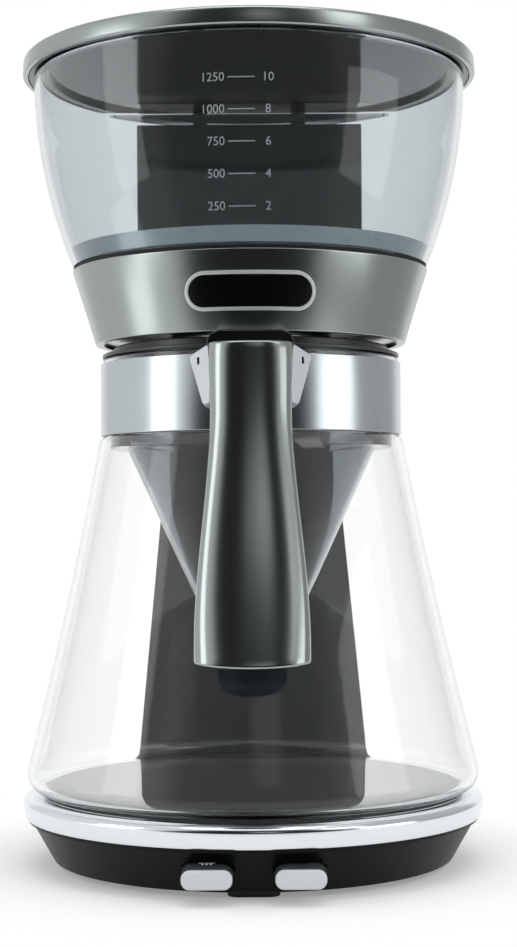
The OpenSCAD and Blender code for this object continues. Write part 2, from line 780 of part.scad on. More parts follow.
module tank_wall() color("#dfe9ec", 0.4) difference() {
  tank_body(0, z_tank, z_tank_top);
  tank_body(tank_t, z_tank - 1, z_tank_top + 1);
}

module tank_floor() color("#6f787b") difference() {
  union() {
    difference() {
      tank_body(tank_t + fit, z_tank, z_tank + floor_rim_h);
      tank_body(tank_t + fit + 1.8, z_tank + floor_t, z_tank + floor_rim_h + 1);
    }
    translate([outlet[0], outlet[1], z_tank - outlet_l]) cylinder(h = outlet_l + 1, r = spigot_r);
  }
  translate([outlet[0], outlet[1], 0]) cylinder(h = far, r = spigot_bore_r);
}

module tank_seal() color("#0c0d0e") in_front_of(tank_back - 1) translate([0, 0, z_seal]) difference() {
  cylinder(h = seal_t, r = collar_top_r - 0.8);
  translate([0, 0, -1]) cylinder(h = far, r = collar_top_r - 7.5);
}

module tank_strainer() color("#b9bdbf") translate([outlet[0], outlet[1], z_tank + floor_t]) difference() {
  cylinder(h = 4, r = 7);
  translate([0, 0, -1]) cylinder(h = 4.2, r = 5.8);
  for (i = [0:3]) rotate(45 * i) translate([-8, -0.6, 0.6]) cube([16, 1.2, 2]);
}

// Lid
module lid_rim() color("#8c8781") difference() {
  z_top = z_lid + lid_rise;
  rotate_extrude() polygon(concat(
    [[lid_r - 2.3, z_lid], [lid_r - 0.6, z_lid], [lid_r, z_lid + 0.6]],
    arc(lid_r - 2.3, z_top - 2, 2, 2, 0, 90, 6),
    [[panel_r + 0.1, z_top], [panel_r + 0.1, z_lid + lid_flange_t], [lid_r - 2.3, z_lid + lid_flange_t]]));
  translate([-lid_arm_w / 2 - slide_gap, lid_r - 20, 0])
    cube([lid_arm_w + 2 * slide_gap, far, z_lid + lid_flange_t]);
}

module lid_cover() color("#232628") difference() {
  panel_top = z_lid + lid_rise - 2.2;
  flange_in = panel_r - 4.6;
  union() {
    rotate_extrude() polygon([[0, z_lid + lid_flange_t], [flange_in, z_lid + lid_flange_t], [flange_in, z_lid],
      [lid_r - 2.6, z_lid], [lid_r - 2.6, z_lid + lid_flange_t], [panel_r, z_lid + lid_flange_t],
      [panel_r, panel_top], [panel_r - 3, panel_top], [panel_r - 8, panel_top - 0.8], [0, panel_top - 0.8]]);
    translate([-lid_arm_w / 2, panel_r, z_lid]) cube([lid_arm_w, hinge_y - panel_r, lid_flange_t]);
    translate([0, hinge_y, hinge_z]) rod_x(lid_arm_w, knuckle_r);
  }
  translate([0, hinge_y, hinge_z]) rod_x(lid_arm_w + 2, pin_r + 0.1);
}

module hinge_pin() color("silver") translate([0, hinge_y, hinge_z]) rod_x(pin_l, pin_r);

// Jug: half sections from the neck down to the middle of the bottom
function jug_side(inset) = let (r = heel_r - inset, a = side_lean)
  let (low = [heel_x + r * cos(a), z_jug + heel_r + r * sin(a)])
  let (top = [shoulder[0] - inset / cos(a), shoulder[1]])
  [for (i = [0:side_steps]) let (t = i / side_steps)
    low + (top - low) * t - [4 * side_sag * t * (1 - t), 0]];

function jug_half(inset) = concat(
  arc(heel_x, z_jug + heel_r, heel_r - inset, heel_r - inset, -90, side_lean, 8), jug_side(inset),
  [[neck_r - inset, z_band - 0.4]]);

module jug_glass() color("#e8f0f2", 0.35) rotate_extrude() polygon(concat(
  [[0, z_jug]], jug_half(0), [[neck_r, z_rim - 0.6], [neck_r - 0.6, z_rim], [neck_r - glass_t, z_rim]],
  [for (i = [len(jug_half(glass_t)) - 1:-1:0]) jug_half(glass_t)[i]], [[0, z_jug + glass_t]]));

module neck_band() color("#c4c9cc") translate([0, 0, z_band]) difference() {
  cylinder(h = band_h, r = band_r);
  translate([0, 0, -1]) cylinder(h = far, r = band_r - 0.9);
}

// Handle
function core_back(z) = handle_y(z) + core_t;
bracket_top_w = 49.2;
bracket_low_w = 39;
z_bracket = z_band + 8;

module handle_bracket() color("#dfe5e7") difference() {
  intersection() {
    push_y(-far / 2, 0) polygon(mirrored([
      [bracket_low_w / 2 - 3, z_bracket], [bracket_low_w / 2, z_bracket + 2.5],
      [bracket_top_w / 2, z_band_top - 3], [bracket_top_w / 2, z_band_top - 1.4],
      [handle_w / 2, z_handle_top + 0.6]]));
    push_x(far) polygon([[-band_r + 12, z_bracket], [core_back(z_bracket + 2), z_bracket + 2],
      [core_back(z_handle_top), z_handle_top], [-band_r + 12, z_band_top - 1.4]]);
    linear_extrude(far) polygon(mirrored([[bracket_top_w / 2, -band_r + 12], [bracket_top_w / 2, -band_r - 2],
      [handle_w / 2 + 1, core_back(z_band_top)], [handle_w / 2 + 1, -far / 2]]));
  }
  cylinder(h = far, r = band_r + 2 * fit);
  for (side = [-1, 1]) translate([side * (bracket_top_w / 2 - 3.5) - 0.5, -far / 2, z_band_top - 5.4])
    cube([1, far / 2, 2.8]);
}

// Fractions of the handle's length where its sections lie, closer together at the rounded ends
handle_stations = concat([0, 0.002, 0.005, 0.01, 0.016, 0.05],
  [for (i = [2:handle_steps - 1]) i / handle_steps], [0.975, 0.99, 1]);

function handle_section(s) = let (z = z_handle + handle_l * s)
  let (foot = sqrt(1 - pow(1 - min(1, s / 0.016), 2)), top = sqrt(1 - pow(1 - min(1, (1 - s) / 0.025), 2)))
  let (t = shell_t * (0.84 + 0.16 * foot) * (0.85 + 0.15 * top), w = handle_half(z) * (0.92 + 0.08 * foot))
  [for (k = [0:section_steps]) let (a = 180 + 180 * k / section_steps, c = cos(a))
    [w * sign(c) * pow(abs(c), 2 / section_power), handle_y(z) - t * pow(abs(sin(a)), 2 / section_power), z]];

handle_screw_z = [z_handle + 38, z_handle + 78];

module at_handle_screws() {
  for (z = handle_screw_z) translate([0, core_back(z), z]) children();
}

module handle_shell() color("#8d8982") difference() {
  loft([for (s = handle_stations) handle_section(s)]);
  at_handle_screws() rod_y(-core_t - 8, 0, screw_r + fit);
}

module handle_core() color("#121314") difference() {
  low = z_handle + 2;
  top = z_handle_top + thumb_rise;
  intersection() {
    push_y(-far / 2, 0) polygon(mirrored(concat(
      [for (i = [0:handle_steps]) let (z = low + (z_handle_top - 3 - low) * i / handle_steps)
        [handle_half(z) - 0.6, z]],
      [[thumb_w / 2, z_handle_top - 1], [thumb_w / 2, top - 4], [thumb_w / 2 - 1.3, top - 1.5],
       [12.5, top]])));
    push_x(far)
      polygon([[handle_y(low), low], [core_back(low), low], [core_back(top), top], [handle_y(top), top]]);
  }
  at_handle_screws() {
    rod_y(-2 * core_t, 0, screw_r + fit);
    rod_y(-2.4, core_t, screw_head_r + fit);
  }
}

module handle_screws() color("silver") at_handle_screws() {
  rod_y(-2.4, screw_head_h - 2.4, screw_head_r);
  rod_y(-core_t - 7, -2, screw_r);
}

// Filter: the holder stands on the jug's rim and hangs into it
cone_slope = (cone_r - cone_tip_r) / cone_h;
function cone_radius(z) = cone_tip_r + cone_slope * (z - z_tip);
z_cone_top = z_cone + (skirt_r - cone_r) / cone_slope;
cone_wall = 1.1 * cone_t;

module filter_holder() color("#3a3f42", 0.75) rotate_extrude() polygon([
  [nozzle_bore, z_tip - nozzle_l], [nozzle_r, z_tip - nozzle_l], [nozzle_r, z_tip], [cone_tip_r, z_tip],
  [skirt_r, z_cone_top], [skirt_r, z_rim], [band_r - 0.8, z_rim], [band_r - 0.8, z_rim + flange_t],
  [lip_r, z_rim + flange_t], [lip_r, z_filter], [lip_r - cone_t, z_filter],
  [skirt_r - cone_t, z_cone_top + (cone_wall - cone_t) / cone_slope],
  [cone_radius(z_tip + cone_t) - cone_wall, z_tip + cone_t],
  [nozzle_bore, z_tip + cone_t]]);

module filter_seal() color("#8b9194") rotate_extrude() polygon([
  [cone_radius(z_cone - 6) + fit, z_cone - 6], [neck_r - glass_t - 0.4, z_cone - 6],
  [neck_r - glass_t - 0.4, z_cone - 1], [cone_radius(z_cone - 1) + fit, z_cone - 1]]);

base_housing();
base_cover();
rubber_feet();
cover_screws();
trim_ring();
warming_plate();
plate_seal();
boiler();
boiler_clamp();
clamp_screw();
thermostat();
thermal_fuse();
terminal_block();
cord_gland();
switch_carrier();
switch_board();
switches();
brew_button();
brew_button_face();
brew_spring();
power_button();
power_button_face();
power_spring();
tower_front();
tower_rear_cover();
tower_screws();
cold_hose_upper();
cold_hose_lower();
hot_hose();
hose_clips();
valve_body();
valve_ball();
collar();
badge_plate();
badge_border();
head_frame();
shower_head();
spray_plate();
tank_wall();
tank_floor();
tank_seal();
tank_strainer();
lid_cover();
lid_rim();
hinge_pin();
jug_glass();
neck_band();
handle_bracket();
handle_shell();
handle_core();
handle_screws();
filter_holder();
filter_seal();
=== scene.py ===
"""Looks of the automatic pour-over coffee maker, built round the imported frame."""
import json
import math

import bmesh
import bpy
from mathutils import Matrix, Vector

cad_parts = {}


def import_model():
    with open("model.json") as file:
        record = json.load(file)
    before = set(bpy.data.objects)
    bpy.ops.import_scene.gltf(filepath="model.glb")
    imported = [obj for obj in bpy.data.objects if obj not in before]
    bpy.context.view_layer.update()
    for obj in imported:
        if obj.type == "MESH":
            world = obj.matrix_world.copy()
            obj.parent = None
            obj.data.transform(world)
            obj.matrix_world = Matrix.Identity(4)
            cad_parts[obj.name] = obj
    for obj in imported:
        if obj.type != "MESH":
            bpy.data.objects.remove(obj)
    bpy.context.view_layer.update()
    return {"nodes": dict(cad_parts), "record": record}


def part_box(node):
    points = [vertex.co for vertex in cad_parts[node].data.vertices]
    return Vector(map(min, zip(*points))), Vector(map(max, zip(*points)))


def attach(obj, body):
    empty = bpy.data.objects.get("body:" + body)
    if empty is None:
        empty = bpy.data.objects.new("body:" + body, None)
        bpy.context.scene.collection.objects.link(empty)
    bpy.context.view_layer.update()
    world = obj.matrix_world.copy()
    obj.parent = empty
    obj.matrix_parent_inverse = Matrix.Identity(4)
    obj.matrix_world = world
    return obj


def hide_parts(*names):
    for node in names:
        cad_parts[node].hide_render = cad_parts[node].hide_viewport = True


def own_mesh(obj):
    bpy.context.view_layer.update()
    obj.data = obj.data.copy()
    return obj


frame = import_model()

# Sizes are in millimetres, in the part's own frame: +Z is up and the handle points to -Y
MM = 0.001
TURN_STEPS = 192
SAME_POINT = 0.002 * MM
BODY_OF = {node: body for body, nodes in frame["record"]["behaviour"]["bodies"].items() for node in nodes}
SLOT_OF = {part["node"]: part["material_slot"] for part in frame["record"]["subparts"]}


def low(node):
    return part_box(node)[0] / MM


def high(node):
    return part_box(node)[1] / MM


# Shapes

def smooth(t):
    """A level that eases from 0 to 1 as t goes from 0 to 1."""
    t = max(0.0, min(1.0, t))
    return t * t * (3 - 2 * t)


def arc(cx, cy, rx, ry, start, end, steps):
    """Points on an elliptic arc, with its angles in degrees."""
    angles = [math.radians(start + (end - start) * i / steps) for i in range(steps + 1)]
    return [(cx + rx * math.cos(a), cy + ry * math.sin(a)) for a in angles]


def rounded(corners, steps=5):
    """An outline of (x, y, radius) corners, each rounded to about its radius."""
    most = 0.48
    points = []
    for i, (x, y, radius) in enumerate(corners):
        corner = Vector((x, y))
        if not radius:
            points.append((x, y))
            continue
        back = Vector(corners[i - 1][:2]) - corner
        ahead = Vector(corners[(i + 1) % len(corners)][:2]) - corner
        setback = radius / math.tan(back.angle(ahead) / 2)
        setback = min(setback, most * back.length, most * ahead.length)
        start = corner + back.normalized() * setback
        end = corner + ahead.normalized() * setback
        for k in range(steps + 1):
            t = k / steps
            points.append(tuple((1 - t) ** 2 * start + 2 * t * (1 - t) * corner + t * t * end))
    return points


def mesh_of(name, verts, faces):
    mesh = bpy.data.meshes.new(name)
    mesh.from_pydata(verts, [], faces)
    bm = bmesh.new()
    bm.from_mesh(mesh)
    bmesh.ops.recalc_face_normals(bm, faces=bm.faces)
    bm.to_mesh(mesh)
    bm.free()
    return mesh


def skin(name, loops, around=True, along=True):
    """A closed mesh through loops of points, which joins up around and along, or else is capped there."""
    rows, count = len(loops), len(loops[0])
    verts = [Vector(p) * MM for loop in loops for p in loop]
    faces = []
    for i in range(rows if along else rows - 1):
        this, other = i * count, (i + 1) % rows * count
        for j in range(count if around else count - 1):
            k = (j + 1) % count
            faces.append((this + j, this + k, other + k, other + j))
    if not along:
        faces += [tuple(i * count + j for j in range(count)) for i in (0, rows - 1)]
    if not around:
        faces += [tuple(i * count + j for i in range(rows)) for j in (0, count - 1)]
    return mesh_of(name, verts, faces)


def ring(radius, z):
    angles = [2 * math.pi * j / TURN_STEPS for j in range(TURN_STEPS)]
    return [(radius * math.sin(a), radius * math.cos(a), z) for a in angles]


def turned(name, outline, to_axis=False):
    """An outline of (radius, height) points turned about the Z axis, with its ends capped if to_axis."""
    return skin(name, [ring(r, z) for r, z in outline], along=not to_axis)


def kept_mesh(bm, name):
    """The mesh that was made in an editor, which is freed."""
    mesh = bpy.data.meshes.new(name)
    bm.to_mesh(mesh)
    bm.free()
    return mesh


def piece(mesh, body, slot, *nodes, sharp=40, finish=None):
    """An object for a mesh, which rides on a body and takes the place of some nodes."""
    mesh.polygons.foreach_set("use_smooth", [True] * len(mesh.polygons))
    mesh.set_sharp_from_angle(angle=math.radians(sharp))
    mesh.materials.append(finish or FINISHES[slot])
    obj = bpy.data.objects.new(mesh.name, mesh)
    bpy.context.scene.collection.objects.link(obj)
    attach(obj, body)
    if nodes:
        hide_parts(*nodes)
    return obj


# Finishes, with the scale of their grain along X, Y and Z, per metre

EVEN_GRAIN = (700, 700, 700)
CAST_GRAIN = (300, 300, 300)
BROAD_WAVES = (40, 40, 40)
LINES_AROUND = (60, 60, 2500)
FINE_LINES_AROUND = (20, 20, 5000)
LINES_DOWN = (2500, 2500, 60)
GLOSS_PATCHES = 28.0
RELIEF_DEPTH = 0.05 * MM


def linear(red, green, blue):
    """A colour given as screen values from 0 to 255."""
    def one(v):
        v /= 255
        return v / 12.92 if v <= 0.04045 else ((v + 0.055) / 1.055) ** 2.4
    return (one(red), one(green), one(blue), 1.0)


def noise(tree, place, scale, detail):
    """A level from 0 to 1 that varies with the place."""
    node = tree.nodes.new("ShaderNodeTexNoise")
    node.inputs["Scale"].default_value = scale
    node.inputs["Detail"].default_value = detail
    tree.links.new(place, node.inputs["Vector"])
    return node.outputs["Fac"]


def surface(name, color, roughness, metallic=0.0, grain=EVEN_GRAIN, tone=0.1, wear=0.06, bump=0.1,
            extra=None):
    """A finish with fine grain in its colour and relief, and broad patches in its gloss."""
    mat = bpy.data.materials.new(name)
    mat.use_nodes = True
    tree = mat.node_tree
    shader = tree.nodes["Principled BSDF"]
    shader.inputs["Metallic"].default_value = metallic
    for socket, value in (extra or {}).items():
        shader.inputs[socket].default_value = value
    place = tree.nodes.new("ShaderNodeTexCoord").outputs["Object"]
    stretch = tree.nodes.new("ShaderNodeMapping")
    stretch.inputs["Scale"].default_value = grain
    tree.links.new(place, stretch.inputs["Vector"])
    fine = noise(tree, stretch.outputs["Vector"], scale=1.0, detail=4.0)
    tint = tree.nodes.new("ShaderNodeMix")
    tint.data_type = "RGBA"
    tint.inputs["A"].default_value = [c * (1 - tone) for c in color[:3]] + [1.0]
    tint.inputs["B"].default_value = [min(1.0, c * (1 + tone)) for c in color[:3]] + [1.0]
    tree.links.new(fine, tint.inputs["Factor"])
    tree.links.new(tint.outputs["Result"], shader.inputs["Base Color"])
    gloss = tree.nodes.new("ShaderNodeMapRange")
    gloss.inputs["To Min"].default_value = max(0.0, roughness - wear)
    gloss.inputs["To Max"].default_value = roughness + wear
    tree.links.new(noise(tree, place, scale=GLOSS_PATCHES, detail=5.0), gloss.inputs["Value"])
    tree.links.new(gloss.outputs["Result"], shader.inputs["Roughness"])
    relief = tree.nodes.new("ShaderNodeBump")
    relief.inputs["Strength"].default_value = bump
    relief.inputs["Distance"].default_value = RELIEF_DEPTH
    tree.links.new(fine, relief.inputs["Height"])
    tree.links.new(relief.outputs["Normal"], shader.inputs["Normal"])
    return mat


def mixed(tree, factor, first, second):
    node = tree.nodes.new("ShaderNodeMixShader")
    tree.links.new(factor, node.inputs["Fac"])
    tree.links.new(first, node.inputs[1])
    tree.links.new(second, node.inputs[2])
    return node.outputs["Shader"]


def clear(name, color, ior, haze=0.02):
    """A see-through finish that lets lamps through."""
    mat = surface(name, color, haze, grain=BROAD_WAVES, tone=0.01, wear=haze, bump=0.02,
                  extra={"Transmission Weight": 1.0, "IOR": ior})
    tree = mat.node_tree
    shader = tree.nodes["Principled BSDF"]
    path = tree.nodes.new("ShaderNodeLightPath")
    passing = tree.nodes.new("ShaderNodeBsdfTransparent")
    passing.inputs["Color"].default_value = color
    look = mixed(tree, path.outputs["Is Shadow Ray"], shader.outputs["BSDF"], passing.outputs["BSDF"])
    tree.links.new(look, tree.nodes["Material Output"].inputs["Surface"])
    return mat


SATIN_GREY = linear(160, 168, 167)
BRUSHED = {"Anisotropic": 0.4}
DULL = {"Specular IOR Level": 0.16}
LACQUER = {"Coat Weight": 0.1, "Coat Roughness": 0.25}
FINISHES = {
    "base_black": surface("base_black", linear(8, 10, 10), 0.36, extra=DULL),
    "rubber_black": surface("rubber_black", linear(12, 12, 13), 0.7, bump=0.3),
    "fixing_steel": surface("fixing_steel", linear(176, 178, 180), 0.34, 1.0),
    "ring_chrome": surface("ring_chrome", linear(228, 233, 236), 0.14, 1.0, tone=0.02, wear=0.04,
                           bump=0.01),
    "plate_coat": surface("plate_coat", linear(34, 36, 38), 0.5),
    "seal_grey": surface("seal_grey", linear(146, 152, 154), 0.6),
    "seal_clear": clear("seal_clear", (0.95, 0.96, 0.96, 1.0), 1.25, haze=0.08),
    "boiler_cast": surface("boiler_cast", linear(168, 169, 171), 0.55, 1.0, grain=CAST_GRAIN, bump=0.6),
    "inner_white": surface("inner_white", linear(214, 210, 198), 0.5),
    "inner_black": surface("inner_black", linear(40, 42, 44), 0.5),
    "board_green": surface("board_green", linear(22, 84, 48), 0.4),
    "button_dark": surface("button_dark", linear(70, 75, 77), 0.38, bump=0.15),
    "button_light": surface("button_light", linear(222, 226, 229), 0.42, tone=0.03),
    "tower_grey": surface("tower_grey", linear(25, 32, 36), 0.36, tone=0.04, bump=0.01, extra=DULL),
    "hose_milky": surface("hose_milky", linear(214, 210, 200), 0.45),
    "taupe_metal": surface("taupe_metal", SATIN_GREY, 0.25, 1.0, grain=LINES_AROUND, tone=0.04, wear=0.02,
                           bump=0.01, extra=LACQUER),
    "taupe_handle": surface("taupe_handle", SATIN_GREY, 0.2, 1.0, grain=LINES_DOWN, tone=0.04, wear=0.02,
                            bump=0.01, extra=LACQUER),
    "badge_gloss": surface("badge_gloss", linear(5, 5, 6), 0.22, tone=0.05, bump=0.02),
    "head_black": surface("head_black", linear(8, 9, 9), 0.12, wear=0.03, bump=0.02),
    "tank_clear": clear("tank_clear", (0.74, 0.78, 0.79, 1.0), 1.3),
    "tank_grey": surface("tank_grey", linear(142, 153, 158), 0.28, 1.0, tone=0.05, bump=0.02),
    "strainer_white": surface("strainer_white", linear(198, 200, 202), 0.5),
    "lid_black": surface("lid_black", linear(8, 9, 10), 0.1, wear=0.03, bump=0.01),
    "jug_glass": clear("jug_glass", (0.985, 0.992, 0.99, 1.0), 1.33, haze=0.0),
    "band_steel": surface("band_steel", linear(192, 200, 204), 0.2, 1.0, grain=FINE_LINES_AROUND,
                          tone=0.06, wear=0.04, bump=0.06, extra=BRUSHED),
    "bracket_bright": surface("bracket_bright", linear(222, 228, 230), 0.36, 0.5, tone=0.04),
    "filter_smoke": clear("filter_smoke", (0.4, 0.43, 0.45, 1.0), 1.3, haze=0.03),
}
SCALE_PRINT = surface("scale_print", linear(150, 157, 159), 0.5, tone=0.04)
FILTER_RIM = surface("filter_rim", linear(44, 49, 51), 0.3, tone=0.06)

for node, slot in SLOT_OF.items():
    for place in frame["nodes"][node].material_slots:
        place.material = FINISHES[slot]


# Nodes that keep their shape, with screws cut, outer edges rounded and hoses smoothed

# Faces that meet at less than the first angle make one flat face, and at more than the second an edge
FLAT_UNDER, EDGE_OVER = math.radians(0.6), math.radians(28)
# Edges up to this length are steps of an arc and stay as they are
ARC_STEP = 1.2
# The rear cover's edges above this height belong to its hinge and stay as they are
HINGE_FROM = 329
# How far a node's edges are rounded, for nodes with such arcs and for those without
ARC_SIDED = {"base_housing": 0.6, "base_cover": 0.5, "tower_front": 0.8, "head_frame": 0.4,
             "shower_head": 0.4, "handle_core": 0.8, "tank_strainer": 0.3, "boiler": 0.5,
             "tank_floor": 0.25}
PLAIN_SIDED = {"rubber_feet": 0.5, "cord_gland": 0.5, "brew_button": 0.6, "power_button": 0.6,
               "spray_plate": 0.2, "handle_bracket": 0.5, "badge_plate": 0.25, "badge_border": 0.3,
               "lid_cover": 0.4, "warming_plate": 0.3, "plate_seal": 0.3, "tank_seal": 0.3,
               "filter_seal": 0.5, "hinge_pin": 0.3, "switch_carrier": 0.25, "switches": 0.25,
               "terminal_block": 0.3, "thermostat": 0.3, "thermal_fuse": 0.3, "boiler_clamp": 0.3,
               "valve_body": 0.3, "switch_board": 0.2, "hose_clips": 0.2}


def edited(node):
    """An editor with a node's mesh, its doubled points joined and its flat faces whole."""
    bm = bmesh.new()
    bm.from_mesh(frame["nodes"][node].data)
    bmesh.ops.remove_doubles(bm, verts=bm.verts, dist=SAME_POINT)
    bmesh.ops.dissolve_limit(bm, angle_limit=FLAT_UNDER, verts=bm.verts, edges=bm.edges)
    return bm


def cross_cut(node, outward):
    """A node's screws with a cross cut into each head."""
    facing, most_plain_corners = 0.99, 8
    bm = edited(node)
    side = outward.orthogonal().normalized()
    up = outward.cross(side)
    heads = [f for f in bm.faces if f.normal.dot(outward) > facing and len(f.verts) > most_plain_corners]
    for head in heads:
        rim = list(head.edges)
        centre = head.calc_center_bounds()
        radius = max((v.co - centre).length for v in head.verts)
        long, short, depth = 0.56 * radius, 0.13 * radius, 0.45 * radius
        quarter = [(long, -short), (long, short), (short, short)]
        turns = [(1, 0), (0, 1), (-1, 0), (0, -1)]
        flat = [(x * c - y * s, x * s + y * c) for c, s in turns for x, y in quarter]
        mouth = [bm.verts.new(centre + side * x + up * y) for x, y in flat]
        deep = [bm.verts.new(v.co - outward * depth) for v in mouth]
        bm.faces.remove(head)
        lip = [bm.edges.new((a, b)) for a, b in zip(mouth, mouth[1:] + mouth[:1])]
        bmesh.ops.triangle_fill(bm, use_beauty=True, edges=rim + lip, normal=outward)
        for i in range(len(mouth)):
            j = (i + 1) % len(mouth)
            bm.faces.new((mouth[i], mouth[j], deep[j], deep[i]))
        bm.faces.new(deep)
    bmesh.ops.recalc_face_normals(bm, faces=bm.faces)
    piece(kept_mesh(bm, node + "_cross"), BODY_OF[node], SLOT_OF[node], node, sharp=30)


def eased(node, width, shortest=0.0, top=math.inf):
    """A node with its outer edges rounded, apart from short edges and those above a height."""
    bm = edited(node)
    outer = [e for e in bm.edges if e.is_manifold and e.calc_face_angle_signed(0) > EDGE_OVER
             and e.calc_length() > shortest * MM and max(v.co.z for v in e.verts) < top * MM]
    bmesh.ops.bevel(bm, geom=outer, offset=width * MM, offset_type="OFFSET", segments=3, profile=0.5,
                    affect="EDGES", clamp_overlap=False)
    obj = piece(kept_mesh(bm, node + "_eased"), BODY_OF[node], SLOT_OF[node], node)
    obj.modifiers.new("flat_faces", "WEIGHTED_NORMAL").keep_sharp = True


cross_cut("tower_screws", Vector((0, 1, 0)))
cross_cut("cover_screws", Vector((0, 0, -1)))
for node, width in ARC_SIDED.items():
    eased(node, width, shortest=ARC_STEP)
for node, width in PLAIN_SIDED.items():
    eased(node, width)
eased("tower_rear_cover", 0.8, shortest=ARC_STEP, top=HINGE_FROM)
for node in ("cold_hose_upper", "cold_hose_lower", "hot_hose"):
    frame["nodes"][node].modifiers.new("joined", "WELD").merge_threshold = SAME_POINT
    frame["nodes"][node].modifiers.new("round", "SUBSURF").render_levels = 1


# Base ring

def trim_ring():
    """A bright ring with a nearly upright face, on a set-back foot coloured black as painted shade in the
    recess under its lip.
    """
    outside, top, bottom = -low("trim_ring").x, high("trim_ring").z, low("trim_ring").z
    plate = high("warming_plate").x
    inner, lip, seat = plate - 1.1, plate + 0.6, plate - 6
    ledge, ledge_t = top - 2.6, 2
    edge, shoulder = bottom + 1.3, top - 3.2
    draw, fillet, lip_round, steps = 0.8, 4.5, 0.5, 12
    bevel_in, bevel_up = 0.3, 0.2
    face = [(outside - draw * (1 - i / steps) ** 2, edge + (shoulder - edge) * i / steps)
            for i in range(steps)]
    outline = [(inner, edge), (outside - draw - bevel_in, edge)]
    outline += [(r, max(z, edge + bevel_up)) for r, z in face]
    outline += arc(outside - fillet, shoulder, fillet, top - shoulder, 0, 90, steps=20)
    outline += [(lip + lip_round, top), (lip, top - lip_round), (lip, ledge), (seat, ledge),
                (seat, ledge - ledge_t), (inner, ledge - ledge_t)]
    piece(turned("ring_bright", outline), "machine", "ring_chrome", "trim_ring")
    # The foot is part of the ring, and its black is painted shade for the recess under the lip
    setback, gap = 1.9, 0.02
    foot_r, foot_top = outside - setback, edge - gap
    foot = [(inner, bottom), (foot_r, bottom), (foot_r, foot_top), (inner, foot_top)]
    piece(turned("ring_painted_shade_foot", foot), "machine", "base_black", "trim_ring")


trim_ring()


# Carafe

GLASS_T = 2.6
BAND_R, BAND_LOW, BAND_TOP = high("neck_band").x, low("neck_band").z, high("neck_band").z
NECK_R = BAND_R - 1.05
JUG_LOW, JUG_RIM = low("jug_glass").z, high("jug_glass").z


def jug_outline(inset):
    """Half of the jug from the flat of its bottom to its neck."""
    heel, sag, steps = 8.0, 1.2, 24
    neck_drop, neck_rise = 0.4, 1
    corner = high("jug_glass").x + 2
    shoulder = Vector((BAND_R + 0.6, BAND_LOW - 2))
    lean = math.atan((corner - shoulder.x) / (shoulder.y - JUG_LOW))
    centre = Vector((corner - heel / math.tan(math.pi / 4 - lean / 2), JUG_LOW + heel))
    r = heel - inset
    points = arc(*centre, r, r, -90, math.degrees(lean), steps=16)
    start = Vector(points[-1])
    end = shoulder - Vector((inset / math.cos(lean), 0))
    for i in range(1, steps + 1):
        t = i / steps
        points.append(tuple(start.lerp(end, t) - Vector((4 * sag * t * (1 - t), 0))))
    return points + [(NECK_R - inset, BAND_LOW - neck_drop), (NECK_R - inset, BAND_LOW + neck_rise)]


def jug():
    """A glass of even wall with a round rim."""
    middle, lip = 6, GLASS_T / 2
    rim = arc(NECK_R - lip, JUG_RIM - lip, lip, lip, 0, 180, steps=12)
    inside = jug_outline(GLASS_T)[::-1]
    outline = [(middle, JUG_LOW)] + jug_outline(0) + rim + inside + [(middle, JUG_LOW + GLASS_T)]
    piece(turned("carafe_glass", outline, to_axis=True), "carafe", "jug_glass", "jug_glass")


def band():
    inner = BAND_R - 0.9
    corners = [(inner, BAND_LOW, 0.2), (BAND_R, BAND_LOW, 0.6), (BAND_R, BAND_TOP, 0.6),
               (inner, BAND_TOP, 0.2)]
    piece(turned("carafe_band", rounded(corners)), "carafe", "band_steel", "neck_band")


def filter_cone():
    """A see-through cone with a bored nozzle, and the dark rim that hangs it on the jug."""
    wall, bore, nozzle_r, nozzle_l = 1.8, 3.4, 5, 3
    top, tip = high("filter_holder").z, low("filter_holder").z + nozzle_l
    tip_r, cone_r, cone_top = 12.8, 57.2, JUG_RIM - 33.9
    skirt, skirt_top = NECK_R - GLASS_T - 1.8, JUG_RIM - 0.1
    slope = (cone_r - tip_r) / (cone_top - tip)
    shoulder = cone_top + (skirt - cone_r) / slope
    side = 1.1 * wall
    cone = [(bore, tip - nozzle_l, 0.3), (nozzle_r, tip - nozzle_l, 0.3), (nozzle_r, tip, 0.3),
            (tip_r, tip, 1.2), (skirt, shoulder, 3), (skirt, skirt_top, 0),
            (skirt - wall, skirt_top, 0), (skirt - wall, shoulder + (side - wall) / slope, 3),
            (tip_r + slope * wall - side, tip + wall, 1), (bore, tip + wall, 0.3)]
    flange_r, flange_top, collar_r = BAND_R - 0.8, JUG_RIM + 1.7, skirt - 0.3
    rim = [(skirt, JUG_RIM, 0), (flange_r, JUG_RIM, 0.5), (flange_r, flange_top, 0.5),
           (collar_r, flange_top, 0.3), (collar_r, top, 0.5), (collar_r - wall, top, 0.5),
           (skirt - wall, JUG_RIM, 0)]
    piece(turned("cone", rounded(cone)), "carafe", "filter_smoke", "filter_holder")
    piece(turned("cone_rim", rounded(rim)), "carafe", "filter_smoke", "filter_holder", finish=FILTER_RIM)


jug()
band()
filter_cone()


# Handle

HANDLE_LOW, HANDLE_TOP = low("handle_shell").z, high("handle_shell").z
HANDLE_L = HANDLE_TOP - HANDLE_LOW
FOOT_ROUND, TOP_ROUND = 1.6, 1.2


def drawn_in(distance, radius):
    """How far a rounded end draws in at a distance from it."""
    left = max(0.0, radius - distance)
    return radius - math.sqrt(radius * radius - left * left)


